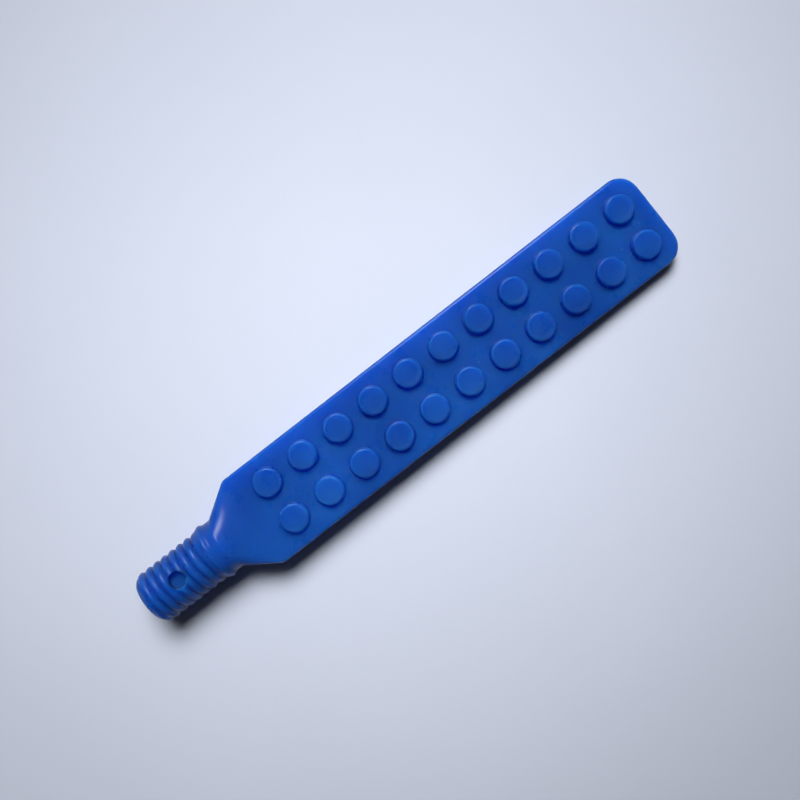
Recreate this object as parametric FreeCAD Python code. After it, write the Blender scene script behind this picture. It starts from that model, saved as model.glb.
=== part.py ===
"""Screw-on oral-motor chew tip: a flat studded blade on a threaded stub, moulded in soft elastomer.

Millimetres. +X runs along the stub's axis towards the blade's free end, +Z points out of the studded
face and +Y is across the blade. The origin is on the axis, where the thread ends and the collar starts.
Every region of the moulding is a solid of its own, and neighbours meet face to face.
"""
import FreeCAD, Part
import math
import os

V = FreeCAD.Vector
AXIS_X = V(1, 0, 0)

# Driving dimensions
STUB_LENGTH = 12.4          # free end of the stub to the collar
THREAD_CREST_D = 8.9        # over the crests
THREAD_DEPTH = 0.45
THREAD_LEAD = 1.5           # single start, right-handed
THREAD_TURNS = 8.4          # turns of groove, which runs out just before the collar
CREST_LAND = 0.6            # width of the rounded crest between two grooves
LAST_CREST_X = -2.15        # last whole crest on the +Y side
GROOVE_FLARE = 1.15         # how much wider the groove's cutter is outside the crests than at them
CUT_TOLERANCE = 0.0001      # lets the helical cut find its edges
END_CHAMFER = 0.8           # on the stub's free end
GATE_D = 2.0                # vestige of the moulding gate, in the middle of the free end
GATE_TOP_D = 1.4
GATE_HEIGHT = 0.5
POCKET_D = 2.85             # blind pocket in the studded side of the thread
POCKET_X = -5.9
POCKET_FLOOR_Z = 3.0
COLLAR_D = 9.7              # stop ring that a handle's mouth meets
COLLAR_WIDTH = 1.35
COLLAR_CREST_X = 0.7
ROUND_NECK_D = 9.0
ROUND_NECK_LENGTH = 1.35
TAPER_LENGTH = 5.6          # round neck to the blade's shoulder
BLADE_LENGTH = 80.5
BLADE_WIDTH = 16.3
BLADE_THICKNESS = 3.2
BLADE_EDGE_R = 0.6
TIP_CORNER_R = 3.4
STUD_D = 5.1                # at the blade's face
STUD_TOP_D = 4.7            # at the top of the drafted wall
STUD_HEIGHT = 1.2
STUD_EDGE_R = 0.3
STUD_PITCH = 7.0            # along a row and between the two rows
STUDS_PER_ROW = 11
FIRST_STUD_MARGIN = 5.75    # shoulder to the middle of the first stud
ROUND_END_FLAT = 0.03       # half the flat that the taper's round end keeps on each of its four sides
SAME_PLACE = 0.01           # two places closer than this are one

# Places along the axis
GROOVE_START_X = LAST_CREST_X - (math.floor(THREAD_TURNS) - 0.25) * THREAD_LEAD
TAPER_START_X = COLLAR_WIDTH + ROUND_NECK_LENGTH
SHOULDER_X = TAPER_START_X + TAPER_LENGTH
TIP_X = SHOULDER_X + BLADE_LENGTH
FIRST_STUD_X = SHOULDER_X + FIRST_STUD_MARGIN
HALF_THICKNESS = BLADE_THICKNESS / 2


def polygon_face(points):
    """A flat face through points, closed back to the first."""
    return Part.Face(Part.makePolygon(points + [points[0]]))


def thread_groove():
    """The space between the crests: a rounded groove swept along a helix, out past the crests."""
    crest_r = THREAD_CREST_D / 2
    root_r = crest_r - THREAD_DEPTH
    outside_r = crest_r + THREAD_DEPTH
    half_mouth = (THREAD_LEAD - CREST_LAND) / 2
    half_outside = half_mouth * GROOVE_FLARE
    helix = Part.makeHelix(THREAD_LEAD, THREAD_LEAD * THREAD_TURNS, root_r)
    mouth_low = V(crest_r, 0, -half_mouth)
    mouth_high = V(crest_r, 0, half_mouth)
    floor_arc = Part.Arc(mouth_low, V(root_r, 0, 0), mouth_high).toShape()
    outer = Part.makePolygon([
        mouth_high,
        V(outside_r, 0, half_outside),
        V(outside_r, 0, -half_outside),
        mouth_low,
    ])
    profile = Part.Wire([floor_arc] + outer.Edges)
    groove = Part.Wire(helix).makePipeShell([profile], True, True)
    groove.rotate(V(0, 0, 0), V(0, 1, 0), 90)
    groove.translate(V(GROOVE_START_X, 0, 0))
    return groove


def threaded_stub():
    """Solid stub with a rounded thread, a chamfered free end, a gate vestige and a blind pocket."""
    crest_r = THREAD_CREST_D / 2
    end_r = crest_r - END_CHAMFER
    outline = polygon_face([
        V(-STUB_LENGTH - GATE_HEIGHT, 0, 0),
        V(-STUB_LENGTH - GATE_HEIGHT, 0, GATE_TOP_D / 2),
        V(-STUB_LENGTH, 0, GATE_D / 2),
        V(-STUB_LENGTH, 0, end_r),
        V(-STUB_LENGTH + END_CHAMFER, 0, crest_r),
        V(0, 0, crest_r),
        V(0, 0, 0),
    ])
    stub = outline.revolve(V(0, 0, 0), AXIS_X, 360)
    pocket = Part.makeCylinder(POCKET_D / 2, crest_r, V(POCKET_X, 0, POCKET_FLOOR_Z))
    return stub.cut(thread_groove(), CUT_TOLERANCE).cut(pocket)


def collar():
    """Rounded stop ring, then the short round neck behind it."""
    ring_r = COLLAR_D / 2
    neck_r = ROUND_NECK_D / 2
    foot_r = THREAD_CREST_D / 2
    crown = Part.Arc(
        V(0, 0, foot_r),
        V(COLLAR_CREST_X, 0, ring_r),
        V(COLLAR_WIDTH, 0, neck_r),
    )
    rest = Part.makePolygon([
        V(COLLAR_WIDTH, 0, neck_r),
        V(TAPER_START_X, 0, neck_r),
        V(TAPER_START_X, 0, 0),
        V(0, 0, 0),
        V(0, 0, foot_r),
    ])
    outline = Part.Face(Part.Wire([crown.toShape()] + rest.Edges))
    return outline.revolve(V(0, 0, 0), AXIS_X, 360)


def cross_section(x, half_width, half_height, corner_r):
    """A rounded rectangle across the axis at x."""
    diagonal = corner_r * math.sqrt(0.5)
    edges = []
    for y_sign, z_sign in ((1, 1), (-1, 1), (-1, -1), (1, -1)):
        centre_y = y_sign * (half_width - corner_r)
        centre_z = z_sign * (half_height - corner_r)
        on_side = V(x, centre_y + y_sign * corner_r, centre_z)
        on_face = V(x, centre_y, centre_z + z_sign * corner_r)
        middle = V(x, centre_y + y_sign * diagonal, centre_z + z_sign * diagonal)
        ends = (on_side, on_face) if y_sign * z_sign > 0 else (on_face, on_side)
        if edges:
            edges.append(Part.makeLine(edges[-1].Vertexes[-1].Point, ends[0]))
        edges.append(Part.Arc(ends[0], middle, ends[1]).toShape())
    edges.append(Part.makeLine(edges[-1].Vertexes[-1].Point, edges[0].Vertexes[0].Point))
    return Part.Wire(edges)


def tapered_neck():
    """Straight-sided taper that widens and flattens from the round neck to the blade's section."""
    neck_r = ROUND_NECK_D / 2
    nearly_round = neck_r - ROUND_END_FLAT
    sections = []
    for share in (0.0, 0.5, 1.0):
        half_width = neck_r + share * (BLADE_WIDTH / 2 - neck_r)
        half_height = neck_r + share * (HALF_THICKNESS - neck_r)
        corner_r = nearly_round + share * (BLADE_EDGE_R - nearly_round)
        x = TAPER_START_X + share * TAPER_LENGTH
        sections.append(cross_section(x, half_width, half_height, corner_r))
    return Part.makeLoft(sections, True, True)


def blade():
    """Flat slab with two rounded far corners and softened edges."""
    slab = Part.makeBox(
        BLADE_LENGTH,
        BLADE_WIDTH,
        BLADE_THICKNESS,
        V(SHOULDER_X, -BLADE_WIDTH / 2, -HALF_THICKNESS),
    )
    tip_corners = []
    for edge in slab.Edges:
        box = edge.BoundBox
        if box.XMin > TIP_X - SAME_PLACE and box.ZLength > SAME_PLACE:
            tip_corners.append(edge)
    slab = slab.makeFillet(TIP_CORNER_R, tip_corners)
    rim = []
    for edge in slab.Edges:
        box = edge.BoundBox
        if box.ZLength < SAME_PLACE and box.XMax > SHOULDER_X + SAME_PLACE:
            rim.append(edge)
    return slab.makeFillet(BLADE_EDGE_R, rim)


def stud(x, y):
    """One round flat-topped stud with a drafted wall and a softened top edge, on the blade's face."""
    body = Part.makeCone(STUD_D / 2, STUD_TOP_D / 2, STUD_HEIGHT, V(x, y, HALF_THICKNESS))
    top = HALF_THICKNESS + STUD_HEIGHT
    top_edges = [edge for edge in body.Edges if edge.BoundBox.ZMin > top - SAME_PLACE]
    return body.makeFillet(STUD_EDGE_R, top_edges)


nodes = {
    "threaded_stub": threaded_stub(),
    "collar": collar(),
    "tapered_neck": tapered_neck(),
    "blade": blade(),
}
for row, y in (("left", STUD_PITCH / 2), ("right", -STUD_PITCH / 2)):
    for index in range(STUDS_PER_ROW):
        name = f"stud_{row}_{index + 1:02d}"
        nodes[name] = stud(FIRST_STUD_X + index * STUD_PITCH, y)

os.makedirs("parts", exist_ok=True)
for name, shape in nodes.items():
    if not shape.isValid() or len(shape.Solids) != 1:
        raise ValueError(f"{name} is not one valid solid")
    shape.Solids[0].exportStep(f"parts/{name}.step")
    print(name, round(shape.Volume, 2))
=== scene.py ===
"""The looks of a screw-on oral-motor chew tip in soft blue elastomer, lying on pale paper.

Metres, in the frame of the CAD part: +X from the threaded stub to the blade's free end, +Z out of the
studded face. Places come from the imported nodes' boxes.
"""
import math
import random

import bmesh
import bpy
from mathutils import Matrix, Vector


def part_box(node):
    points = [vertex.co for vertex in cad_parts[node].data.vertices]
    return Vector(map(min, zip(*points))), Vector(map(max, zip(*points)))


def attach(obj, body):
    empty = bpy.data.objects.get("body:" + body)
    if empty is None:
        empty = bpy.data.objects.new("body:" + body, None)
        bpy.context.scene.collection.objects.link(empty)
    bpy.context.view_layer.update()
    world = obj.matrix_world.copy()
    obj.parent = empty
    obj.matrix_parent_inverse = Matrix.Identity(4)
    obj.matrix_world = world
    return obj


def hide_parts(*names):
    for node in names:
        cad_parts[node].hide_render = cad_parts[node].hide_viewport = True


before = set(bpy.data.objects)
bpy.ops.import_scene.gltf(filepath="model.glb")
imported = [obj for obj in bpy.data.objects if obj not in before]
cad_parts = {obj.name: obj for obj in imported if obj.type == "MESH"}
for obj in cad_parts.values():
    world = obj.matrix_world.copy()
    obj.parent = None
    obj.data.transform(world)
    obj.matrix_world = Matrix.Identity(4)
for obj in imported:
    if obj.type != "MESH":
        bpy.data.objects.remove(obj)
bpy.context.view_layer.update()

MM = 0.001

# ---------------------------------------------------------------- sizes, read from the frame
stub_low, stub_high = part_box("threaded_stub")
collar_low, collar_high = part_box("collar")
neck_low, neck_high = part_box("tapered_neck")
blade_low, blade_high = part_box("blade")
stud_low, stud_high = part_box("stud_left_01")
last_stud_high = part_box("stud_left_11")[1]

CREST_R = stub_high.y
COLLAR_R = min(collar_high.z, -collar_low.z)
NECK_R = neck_high.z
HALF_WIDTH = blade_high.y
HALF_THICKNESS = blade_high.z
TAPER_START = neck_low.x
SHOULDER = blade_low.x
TIP = blade_high.x
STUD_R = (stud_high.x - stud_low.x) / 2
STUD_HEIGHT = stud_high.z - stud_low.z

# Details of the moulding that the boxes don't hold
GATE_HEIGHT = 0.5 * MM
STUB_END = stub_low.x + GATE_HEIGHT
GATE_R = 0.98 * MM
END_CHAMFER = 0.8 * MM
END_CHAMFER_BLEND = 0.2 * MM
THREAD_LEAD = 1.5 * MM
THREAD_DEPTH = 0.45 * MM
LAST_CREST = -2.15 * MM
THREAD_ROUNDNESS = 1.9              # power that shapes the valleys: 2 is a parabola
THREAD_RUN_OUT = 0.55               # turns over which the last groove gets shallow
THREAD_LAST_TURN = 0.72             # where it ends, in turns from the last crest
COLLAR_START = -0.9 * MM
COLLAR_FLARE = 1.6                  # power that makes the collar's rise hollow
COLLAR_CREST = 0.7 * MM
COLLAR_END = 1.35 * MM
BLADE_EDGE_R = 0.6 * MM
PARTING_RIDGE = 0.04 * MM
TIP_CORNER_R = 3.4 * MM
POCKET_R = 1.42 * MM
POCKET_X = -5.9 * MM
POCKET_FLOOR = 3.05 * MM
POCKET_SEGMENTS = 96

# ---------------------------------------------------------------- the body's cross-sections
SIDE_POINTS, CORNER_POINTS, FACE_POINTS = 8, 14, 42
QUARTER = SIDE_POINTS + CORNER_POINTS + FACE_POINTS
AROUND = 4 * QUARTER


def ease(value, width):
    """0 below 0, value itself above, rounded off over width each side of 0."""
    if value <= -width:
        return 0.0
    if value >= width:
        return value
    return (value + width) ** 2 / (4 * width)


def smooth_step(value):
    """0 to 1 with level ends."""
    value = min(max(value, 0.0), 1.0)
    return value * value * (3 - 2 * value)


def thread_depth(x, theta):
    """How far the thread's surface lies under the crests, at x and at theta from +Y towards +Z."""
    turn = theta / (2 * math.pi)
    along = (x - LAST_CREST) / THREAD_LEAD - turn
    phase = along - round(along)
    valley = abs(2 * phase) ** THREAD_ROUNDNESS
    groove = round(along - 0.5)
    turns_to_end = THREAD_LAST_TURN - (groove + turn)
    return THREAD_DEPTH * valley * smooth_step(turns_to_end / THREAD_RUN_OUT)


def round_radius(x, theta):
    """Radius of the stub, the collar and the round neck."""
    radius = CREST_R
    if x > COLLAR_START:
        rise = smooth_step((x - COLLAR_START) / (COLLAR_CREST - COLLAR_START)) ** COLLAR_FLARE
        radius += (COLLAR_R - CREST_R) * rise
    if x > COLLAR_CREST:
        fall = smooth_step((x - COLLAR_CREST + 0.1 * MM) / (COLLAR_END - COLLAR_CREST + 0.2 * MM))
        radius = COLLAR_R + (NECK_R - COLLAR_R) * fall
    if x < 0:
        radius = min(radius, CREST_R) - thread_depth(x, theta)
    lead_in = CREST_R - END_CHAMFER + (x - STUB_END)
    return radius - ease(radius - lead_in, END_CHAMFER_BLEND)


def round_section(x):
    """A ring of points round the axis at x."""
    ring = []
    for i in range(AROUND):
        theta = 2 * math.pi * i / AROUND
        radius = round_radius(x, theta)
        if i % (AROUND // 2) == 0:
            radius += PARTING_RIDGE
        ring.append((x, radius * math.cos(theta), radius * math.sin(theta)))
    return ring


def plan_half_width(x, inset):
    """Half the blade's width at x, for its outline moved in by inset."""
    corner_start = TIP - TIP_CORNER_R
    if x <= corner_start:
        return HALF_WIDTH - inset
    reach = (TIP_CORNER_R - inset) ** 2 - (x - corner_start) ** 2
    return HALF_WIDTH - TIP_CORNER_R + math.sqrt(max(reach, 0.0))


def slab_quarter(x):
    """The (y, z) points of the blade's section at x, from the middle of its side to its centre line."""
    flat = HALF_THICKNESS - BLADE_EDGE_R
    room = min(max(TIP - x, 0.0) / BLADE_EDGE_R, 1.0)
    last_angle = math.acos(1 - room)
    points = []
    for i in range(SIDE_POINTS):
        inset = 0.0 if i == 0 else PARTING_RIDGE
        points.append((plan_half_width(x, inset), flat * i / SIDE_POINTS))
    for i in range(CORNER_POINTS + 1):
        angle = last_angle * i / CORNER_POINTS
        inset = PARTING_RIDGE + BLADE_EDGE_R * (1 - math.cos(angle))
        points.append((plan_half_width(x, inset), flat + BLADE_EDGE_R * math.sin(angle)))
    edge_y, top = points[-1]
    for i in range(1, FACE_POINTS + 1):
        points.append((edge_y * (1 - i / FACE_POINTS), top))
    return points


def mirror_quarter(x, quarter):
    """A whole ring at x from one quarter of it."""
    ring = [(x, y, z) for y, z in quarter[:-1]]
    ring += [(x, -y, z) for y, z in reversed(quarter[1:])]
    ring += [(x, -y, -z) for y, z in quarter[:-1]]
    ring += [(x, y, -z) for y, z in reversed(quarter[1:])]
    return ring


def taper_section(x):
    """A ring of the neck at x, on its way from round to the blade's flat section."""
    length = SHOULDER - TAPER_START
    start_round, end_round = 0.22 * MM, 0.45 * MM
    travelled = ease(x - TAPER_START, start_round) - ease(x - SHOULDER, end_round)
    share = travelled / length
    round_ring = round_section(x)
    flat_ring = mirror_quarter(x, slab_quarter(x))
    ring = []
    for near, far in zip(round_ring, flat_ring):
        y = near[1] + (far[1] - near[1]) * share
        z = near[2] + (far[2] - near[2]) * share
        ring.append((x, y, z))
    return ring


def spaced(start, end, step):
    """Evenly spaced places from start up to but not including end."""
    count = max(1, round((end - start) / step))
    return [start + (end - start) * i / count for i in range(count)]


def gate_rings():
    """The free end of the stub: a faintly dished face with the torn vestige of the gate on it."""
    lean_y, lean_z = -0.1 * MM, 0.2 * MM
    profile = [(0.0, 0.3), (0.06, 0.52), (0.16, 0.66), (0.3, 0.78), (0.45, 0.92), (0.55, 1.0)]
    rings = []
    for rise, share in profile:
        ring = []
        for i in range(AROUND):
            theta = 2 * math.pi * i / AROUND
            wave = 1 + 0.05 * math.sin(3 * theta + 1.0) + 0.03 * math.sin(5 * theta)
            y = lean_y + GATE_R * share * wave * math.cos(theta)
            z = lean_z + GATE_R * share * wave * math.sin(theta)
            ring.append((STUB_END - GATE_HEIGHT + rise * MM, y, z))
        rings.append(ring)
    face_r = CREST_R - END_CHAMFER - 0.1 * MM
    for share in (0.12, 0.3, 0.5, 0.7, 0.85, 0.95):
        ring = []
        for i in range(AROUND):
            theta = 2 * math.pi * i / AROUND
            inner_y = lean_y + GATE_R * 1.08 * math.cos(theta)
            inner_z = lean_z + GATE_R * 1.08 * math.sin(theta)
            y = inner_y + (face_r * math.cos(theta) - inner_y) * share
            z = inner_z + (face_r * math.sin(theta) - inner_z) * share
            ring.append((STUB_END + 0.06 * MM * (1 - share), y, z))
        rings.append(ring)
    return rings


def body_rings():
    """Every ring of the body from the gate to the blade's tip."""
    rings = gate_rings()
    for x in spaced(STUB_END + 0.005 * MM, TAPER_START - 0.4 * MM, 0.05 * MM):
        rings.append(round_section(x))
    for x in spaced(TAPER_START - 0.4 * MM, SHOULDER + 0.6 * MM, 0.1 * MM):
        rings.append(taper_section(x))
    for x in spaced(SHOULDER + 0.6 * MM, TIP - TIP_CORNER_R, 0.4 * MM):
        rings.append(mirror_quarter(x, slab_quarter(x)))
    places = set()
    for i in range(29):
        places.add(TIP - TIP_CORNER_R * (1 - math.sin(math.pi / 2 * i / 28)))
    for i in range(1, 13):
        places.add(TIP - BLADE_EDGE_R * (1 - math.sin(math.pi / 2 * i / 12)))
    last = None
    for x in sorted(places):
        if last is None or x - last > 0.004 * MM:
            rings.append(mirror_quarter(x, slab_quarter(x)))
            last = x
    return rings


def skin(name, rings):
    """A closed smooth mesh through rings of equal length."""
    count = len(rings[0])
    points = [point for ring in rings for point in ring]
    faces = []
    for r in range(len(rings) - 1):
        low, high = r * count, (r + 1) * count
        for i in range(count):
            j = (i + 1) % count
            faces.append((low + i, low + j, high + j, high + i))
    last = (len(rings) - 1) * count
    faces.append(tuple(range(count - 1, -1, -1)))
    faces.append(tuple(last + i for i in range(count)))
    mesh = bpy.data.meshes.new(name)
    mesh.from_pydata(points, [], faces)
    mesh.validate()
    mesh.update()
    obj = bpy.data.objects.new(name, mesh)
    bpy.context.scene.collection.objects.link(obj)
    bm = bmesh.new()
    bm.from_mesh(mesh)
    bmesh.ops.remove_doubles(bm, verts=bm.verts, dist=0.0005 * MM)
    bmesh.ops.recalc_face_normals(bm, faces=bm.faces)
    bm.to_mesh(mesh)
    bm.free()
    return obj


def lathe(name, profile, centre, segments=72):
    """A closed mesh of revolution about the vertical axis through centre, from (radius, z) points."""
    rings = []
    for radius, z in profile:
        ring = []
        for i in range(segments):
            angle = 2 * math.pi * i / segments
            x = centre[0] + radius * math.cos(angle)
            y = centre[1] + radius * math.sin(angle)
            ring.append((x, y, z))
        rings.append(ring)
    return skin(name, rings)


def apply_modifiers(obj):
    """Makes the modifiers' result the object's own mesh."""
    graph = bpy.context.evaluated_depsgraph_get()
    result = bpy.data.meshes.new_from_object(obj.evaluated_get(graph))
    obj.modifiers.clear()
    obj.data = result


def combine(body, tool, operation):
    """Cuts the tool out of the body, or merges it in, and removes the tool."""
    step = body.modifiers.new("combine", "BOOLEAN")
    step.operation = operation
    step.solver = "EXACT"
    step.object = tool
    bpy.context.view_layer.update()
    apply_modifiers(body)
    bpy.data.objects.remove(tool)


def cut_pocket(body):
    """Cuts the round blind pocket into the thread, from the studded side."""
    profile = [
        (0.3 * POCKET_R, POCKET_FLOOR),
        (POCKET_R - 0.12 * MM, POCKET_FLOOR),
        (POCKET_R - 0.03 * MM, POCKET_FLOOR + 0.04 * MM),
        (POCKET_R, POCKET_FLOOR + 0.14 * MM),
        (POCKET_R + 0.04 * MM, CREST_R + 1 * MM),
        (0.3 * POCKET_R, CREST_R + 1 * MM),
    ]
    combine(body, lathe("pocket_cutter", profile, (POCKET_X, 0.0), POCKET_SEGMENTS), "DIFFERENCE")


def shade(obj, angle=38):
    """Smooth shading, with an edge kept sharp only where the faces turn by more than angle."""
    for polygon in obj.data.polygons:
        polygon.use_smooth = True
    obj.data.set_sharp_from_angle(angle=math.radians(angle))


# ---------------------------------------------------------------- materials
DEEP_BLUE = (0.0075, 0.067, 0.365, 1)
LIGHT_BLUE = (0.013, 0.112, 0.50, 1)
GRAIN_BLUE = (0.035, 0.16, 0.55, 1)
# painted shade: the dark blue that the steep outer sides are painted towards
SIDE_SHADE_BLUE = (0.002, 0.030, 0.15, 1)
DUST = (0.42, 0.5, 0.62, 1)
PAPER_DARK = (0.77, 0.81, 0.92, 1)
PAPER_LIGHT = (0.79, 0.83, 0.94, 1)
BLACK = (0.0, 0.0, 0.0, 1)


def node(tree, kind, **values):
    """A shader node with its plain settings and its input values."""
    made = tree.nodes.new(kind)
    for key, value in values.items():
        if hasattr(made, key):
            setattr(made, key, value)
        else:
            made.inputs[key.replace("_", " ")].default_value = value
    return made


def noise(tree, position, scale, detail=3.0, roughness=0.5):
    """Noise over the object's own position. Scale is in waves per metre."""
    made = node(tree, "ShaderNodeTexNoise", Scale=scale, Detail=detail, Roughness=roughness)
    tree.links.new(position, made.inputs["Vector"])
    return made.outputs["Fac"]


def ramp(tree, value, low, high, out_low=0.0, out_high=1.0):
    """Maps value from low..high to out_low..out_high, held at the ends."""
    made = node(tree, "ShaderNodeMapRange")
    made.clamp = True
    made.inputs["From Min"].default_value = low
    made.inputs["From Max"].default_value = high
    made.inputs["To Min"].default_value = out_low
    made.inputs["To Max"].default_value = out_high
    tree.links.new(value, made.inputs["Value"])
    return made.outputs["Result"]


def mix_colour(tree, share, first, second):
    """Mixes two colours, each a plain colour or a socket."""
    made = node(tree, "ShaderNodeMix", data_type="RGBA")
    tree.links.new(share, made.inputs["Factor"])
    for value, name in ((first, "A"), (second, "B")):
        socket = [s for s in made.inputs if s.name == name and s.type == "RGBA"][0]
        if isinstance(value, tuple):
            socket.default_value = value
        else:
            tree.links.new(value, socket)
    return [s for s in made.outputs if s.type == "RGBA"][0]


def maths(tree, operation, first, second):
    """One arithmetic step between sockets or numbers."""
    made = node(tree, "ShaderNodeMath", operation=operation)
    for value, socket in ((first, made.inputs[0]), (second, made.inputs[1])):
        if isinstance(value, (int, float)):
            socket.default_value = value
        else:
            tree.links.new(value, socket)
    return made.outputs[0]


def bump(tree, height, distance, strength, normal=None):
    """A bump step on top of an earlier one."""
    made = node(tree, "ShaderNodeBump", Strength=strength, Distance=distance)
    tree.links.new(height, made.inputs["Height"])
    if normal is not None:
        tree.links.new(normal, made.inputs["Normal"])
    return made.outputs["Normal"]


def painted_side_shade(tree):
    """How far a point lies on the steep outer sides of the blade or of the round parts: the mask for
    painted shade.

    The colour there is painted darker by this share. This is painted shade, standing in for a dark rim
    along the outline and for the shaded lower sides, and isn't a known property of the elastomer.
    """
    places = node(tree, "ShaderNodeTexCoord")
    place = node(tree, "ShaderNodeSeparateXYZ")
    tree.links.new(places.outputs["Object"], place.inputs[0])
    facing = node(tree, "ShaderNodeSeparateXYZ")
    tree.links.new(places.outputs["Normal"], facing.inputs[0])
    across = maths(tree, "ABSOLUTE", place.outputs["Y"], 0.0)
    beyond_studs = STUD_R + 0.6 * MM
    beside = ramp(tree, across, stud_high.y + 0.3 * MM, stud_high.y + 0.6 * MM)
    ahead = ramp(tree, place.outputs["X"], last_stud_high.x + 0.2 * MM, last_stud_high.x + 0.4 * MM)
    behind = ramp(tree, place.outputs["X"], stud_low.x - beyond_studs, stud_low.x - 0.6 * MM, 1.0, 0.0)
    outside = maths(tree, "MAXIMUM", beside, maths(tree, "MAXIMUM", ahead, behind))
    steep = ramp(tree, maths(tree, "ABSOLUTE", facing.outputs["Z"], 0.0), 0.2, 0.85, 0.8, 0.0)
    return maths(tree, "MULTIPLY", outside, steep)


def blue_elastomer():
    """Satin, slightly translucent elastomer: mottled blue, fine scuffs, a few specks of dust, and painted
    shade on the steep outer sides.
    """
    material = bpy.data.materials.new("blue_elastomer")
    material.use_nodes = True
    tree = material.node_tree
    shader = tree.nodes["Principled BSDF"]
    position = node(tree, "ShaderNodeTexCoord").outputs["Object"]

    clouds = noise(tree, position, 70, 4.0, 0.55)
    grain = noise(tree, position, 1400, 3.0, 0.6)
    colour = mix_colour(tree, ramp(tree, clouds, 0.3, 0.7), DEEP_BLUE, LIGHT_BLUE)
    colour = mix_colour(tree, ramp(tree, grain, 0.62, 0.8, 0.0, 0.25), colour, GRAIN_BLUE)

    specks = node(tree, "ShaderNodeTexVoronoi", Scale=420.0, Randomness=1.0)
    tree.links.new(position, specks.inputs["Vector"])
    near = ramp(tree, specks.outputs["Distance"], 0.035, 0.06, 1.0, 0.0)
    patches = ramp(tree, noise(tree, position, 160, 1.0), 0.56, 0.62)
    dust = maths(tree, "MULTIPLY", near, patches)
    colour = mix_colour(tree, maths(tree, "MULTIPLY", dust, 0.35), colour, DUST)
    # painted shade: the steep outer sides of the blade and the round parts are darkened
    colour = mix_colour(tree, painted_side_shade(tree), colour, SIDE_SHADE_BLUE)
    tree.links.new(colour, shader.inputs["Base Color"])

    rough = ramp(tree, noise(tree, position, 320, 3.0, 0.6), 0.3, 0.7, 0.25, 0.35)
    rough = maths(tree, "ADD", rough, maths(tree, "MULTIPLY", dust, 0.2))
    tree.links.new(rough, shader.inputs["Roughness"])

    stretch = node(tree, "ShaderNodeMapping")
    stretch.inputs["Rotation"].default_value = (0, 0, math.radians(24))
    stretch.inputs["Scale"].default_value = (60, 1600, 200)
    tree.links.new(position, stretch.inputs["Vector"])
    hairlines = noise(tree, stretch.outputs["Vector"], 1.0, 1.0)
    scratches = ramp(tree, hairlines, 0.735, 0.76)

    normal = bump(tree, noise(tree, position, 110, 2.0), 0.25 * MM, 0.28)
    normal = bump(tree, grain, 0.012 * MM, 0.5, normal)
    normal = bump(tree, scratches, 0.01 * MM, 0.25, normal)
    normal = bump(tree, dust, 0.03 * MM, 0.4, normal)
    tree.links.new(normal, shader.inputs["Normal"])

    shader.inputs["IOR"].default_value = 1.45
    shader.inputs["Specular IOR Level"].default_value = 0.22
    shader.inputs["Subsurface Weight"].default_value = 1.0
    shader.inputs["Subsurface Radius"].default_value = (0.1, 0.45, 0.8)
    shader.inputs["Subsurface Scale"].default_value = 12.0 * MM
    return material


LIGHT_POOL = (0.046, 0.0105, 0.0)    # where the paper looks brightest


def pale_paper():
    """Matt, faintly mottled lavender-white paper for the floor.

    It is painted darker away from LIGHT_POOL, in place of the light's own falloff.
    """
    material = bpy.data.materials.new("pale_paper")
    material.use_nodes = True
    tree = material.node_tree
    shader = tree.nodes["Principled BSDF"]
    position = node(tree, "ShaderNodeTexCoord").outputs["Object"]
    blotch = noise(tree, position, 25, 3.0, 0.5)
    colour = mix_colour(tree, ramp(tree, blotch, 0.3, 0.7), PAPER_DARK, PAPER_LIGHT)
    reach = node(tree, "ShaderNodeVectorMath", operation="DISTANCE")
    tree.links.new(position, reach.inputs[0])
    reach.inputs[1].default_value = LIGHT_POOL
    fade = ramp(tree, reach.outputs["Value"], 15 * MM, 90 * MM, 0.0, 0.18)
    colour = mix_colour(tree, fade, colour, BLACK)
    tree.links.new(colour, shader.inputs["Base Color"])
    fibres = noise(tree, position, 900, 5.0, 0.65)
    tree.links.new(bump(tree, fibres, 0.04 * MM, 0.3), shader.inputs["Normal"])
    shader.inputs["Roughness"].default_value = 0.85
    shader.inputs["Specular IOR Level"].default_value = 0.2
    return material


# ---------------------------------------------------------------- pieces
STUD_DRAFT = 0.2 * MM               # from the foot in to the top
STUD_EDGE_R = 0.38 * MM
STUD_ROOT_R = 0.16 * MM
STUD_BURY = 0.12 * MM               # how far a stud's mesh reaches under the blade's face
STUD_DISH = (0.05, 0.09)            # least and greatest dish of a top, in mm
STUD_SEED = 3


def stud_profile(rng):
    """A stud from the middle of its top, down its soft edge and drafted wall, into the blade's face."""
    top = HALF_THICKNESS + STUD_HEIGHT
    top_r = STUD_R - STUD_DRAFT
    edge_r = STUD_EDGE_R
    root_r = STUD_ROOT_R
    bury = HALF_THICKNESS - STUD_BURY
    dish = rng.uniform(*STUD_DISH) * MM
    profile = [(0.02 * STUD_R, top - dish)]
    for share in (0.3, 0.58, 0.64, 0.69, 0.74, 0.79):
        profile.append((top_r * share, top - dish * (1 - smooth_step((share - 0.58) / 0.23))))
    for i in range(11):
        angle = math.radians(84) * i / 10
        radius = top_r - edge_r + edge_r * math.sin(angle)
        profile.append((radius, top - edge_r + edge_r * math.cos(angle)))
    wall_foot = HALF_THICKNESS + root_r
    foot_r = STUD_R - root_r * 0.7
    profile.append(((top_r + foot_r) / 2, (top - edge_r + wall_foot) / 2))
    for i in range(7):
        angle = math.pi / 2 * i / 6
        radius = foot_r + root_r * (1 - math.cos(angle)) * 0.7
        profile.append((radius, wall_foot - root_r * math.sin(angle) - 0.002 * MM * i / 6))
    profile.append((STUD_R - 0.02 * MM, bury))
    profile.append((0.02 * STUD_R, bury))
    return profile


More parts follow.
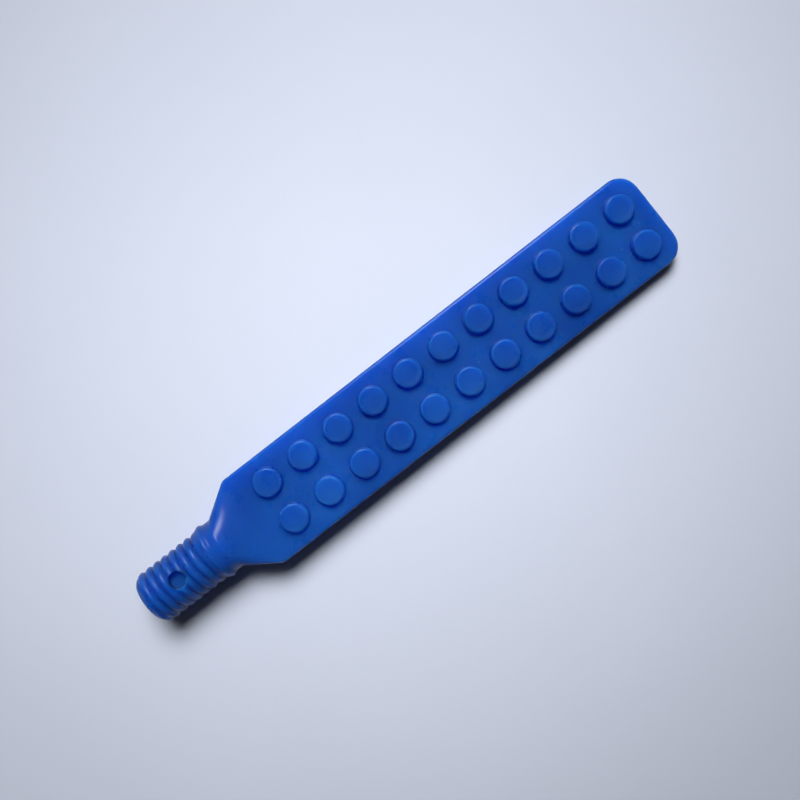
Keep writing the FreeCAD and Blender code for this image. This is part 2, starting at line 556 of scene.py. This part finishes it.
def all_studs(names):
    """One mesh with a stud over each of the stud nodes."""
    rng = random.Random(STUD_SEED)
    bm = bmesh.new()
    for name in names:
        low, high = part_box(name)
        centre = ((low.x + high.x) / 2, (low.y + high.y) / 2)
        stud = lathe(name + "_shape", stud_profile(rng), centre)
        bm.from_mesh(stud.data)
        bpy.data.objects.remove(stud)
    mesh = bpy.data.meshes.new("studs")
    bm.to_mesh(mesh)
    bm.free()
    studs = bpy.data.objects.new("studs", mesh)
    bpy.context.scene.collection.objects.link(studs)
    return studs


def make_body(material):
    """The stub, collar, neck, blade and studs as the one continuous skin that the moulding has."""
    body = skin("moulded_body", body_rings())
    cut_pocket(body)
    studs = sorted(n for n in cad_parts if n.startswith("stud_"))
    combine(body, all_studs(studs), "UNION")
    shade(body)
    body.data.materials.clear()
    body.data.materials.append(material)
    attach(body, "root")
    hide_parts("threaded_stub", "collar", "tapered_neck", "blade", *studs)


# ---------------------------------------------------------------- floor, light and camera
FLOOR_SIZE = 1.6
FLOOR_STEPS = 8
FLOOR_GAP = 0.03 * MM


def rest_line():
    """The line through the collar and the blade's far end, on which the part rests: a point and a slope."""
    tip_x = TIP - BLADE_EDGE_R
    slope = (COLLAR_R - HALF_THICKNESS) / (tip_x - COLLAR_CREST)
    return COLLAR_CREST, -COLLAR_R, slope


def make_floor():
    """Plain pale paper under the part."""
    x, z, slope = rest_line()
    mesh = bpy.data.meshes.new("floor")
    points = []
    faces = []
    for i in range(FLOOR_STEPS + 1):
        for j in range(FLOOR_STEPS + 1):
            across, along = i / FLOOR_STEPS - 0.5, j / FLOOR_STEPS - 0.5
            points.append((FLOOR_SIZE * across, FLOOR_SIZE * along, 0.0))
    for i in range(FLOOR_STEPS):
        for j in range(FLOOR_STEPS):
            a = i * (FLOOR_STEPS + 1) + j
            faces.append((a, a + FLOOR_STEPS + 1, a + FLOOR_STEPS + 2, a + 1))
    mesh.from_pydata(points, [], faces)
    floor = bpy.data.objects.new("floor", mesh)
    floor.location = (x, 0, z - FLOOR_GAP)
    floor.rotation_euler = (0, -math.atan(slope), 0)
    bpy.context.scene.collection.objects.link(floor)
    mesh.materials.append(pale_paper())


KEY_TARGET = Vector((0.034, 0.017, 0))
KEY_SLOPE_X = 0.31                  # how far the light leans from the vertical, as a slope
KEY_SLOPE_Y = 0.554
KEY_DISTANCE = 0.40
KEY_LENGTH = 0.28                   # along the part
KEY_DEPTH = 0.225
KEY_POWER = 0.256
KEY_SPREAD = math.radians(43)
GLINT_SLOPE_X = 0.30                # the lower light, which gives only the highlights
GLINT_SLOPE_Y = 1.05
GLINT_LENGTH = 0.11
GLINT_DEPTH = 0.26
GLINT_POWER = 0.25
GLINT_SPREAD = math.radians(60)
FILL_STRENGTH = 0.022


def area_light(name, slope_x, slope_y, length, depth, power, spread):
    """A rectangular light aimed at the part, its centre leaning from the vertical by the two slopes."""
    data = bpy.data.lights.new(name, "AREA")
    data.shape = "RECTANGLE"
    data.size = length
    data.size_y = depth
    data.energy = power
    data.spread = spread
    data.color = (0.935, 0.957, 1.0)
    light = bpy.data.objects.new(name, data)
    towards = Vector((slope_x, slope_y, 1)).normalized()
    along = (Vector((1, 0, 0)) - towards * towards.x).normalized()
    turn = Matrix((along, towards.cross(along), towards)).transposed()
    light.matrix_world = Matrix.Translation(KEY_TARGET + towards * KEY_DISTANCE) @ turn.to_4x4()
    bpy.context.scene.collection.objects.link(light)
    return light


def make_lights():
    """A large soft light from the +Y side, a lower one seen only in reflections, and a faint fill."""
    key = area_light("key", KEY_SLOPE_X, KEY_SLOPE_Y, KEY_LENGTH, KEY_DEPTH, KEY_POWER, KEY_SPREAD)
    key.visible_glossy = False
    glint = area_light(
        "glint", GLINT_SLOPE_X, GLINT_SLOPE_Y, GLINT_LENGTH, GLINT_DEPTH, GLINT_POWER, GLINT_SPREAD
    )
    glint.visible_diffuse = False
    world = bpy.data.worlds.new("studio")
    world.use_nodes = True
    background = world.node_tree.nodes["Background"]
    background.inputs["Color"].default_value = (0.9, 0.94, 1.0, 1)
    background.inputs["Strength"].default_value = FILL_STRENGTH
    bpy.context.scene.world = world


CAMERA_PLACE = Vector((38.7, -2.25, 148.2)) * MM
CAMERA_AIM = Vector((38.5, 1.0, 0)) * MM
CAMERA_TURN = math.radians(37.8)    # how far the blade climbs to the right in the view
CAMERA_LENS_MM = 41.85
SENSOR_MM = 36.0


def make_camera():
    """A camera nearly straight above, with the blade running up to the right."""
    forward = (CAMERA_AIM - CAMERA_PLACE).normalized()
    right = Vector((math.cos(CAMERA_TURN), -math.sin(CAMERA_TURN), 0))
    right = (right - forward * right.dot(forward)).normalized()
    up = right.cross(forward)
    data = bpy.data.cameras.new("camera")
    data.sensor_width = SENSOR_MM
    data.lens = CAMERA_LENS_MM
    data.clip_start = 0.005
    data.clip_end = 10
    camera = bpy.data.objects.new("camera", data)
    turn = Matrix((right, up, -forward)).transposed()
    camera.matrix_world = Matrix.Translation(CAMERA_PLACE) @ turn.to_4x4()
    bpy.context.scene.collection.objects.link(camera)
    bpy.context.scene.camera = camera


bpy.context.scene.view_settings.view_transform = "Standard"
elastomer = blue_elastomer()
make_body(elastomer)
make_floor()
make_lights()
make_camera()
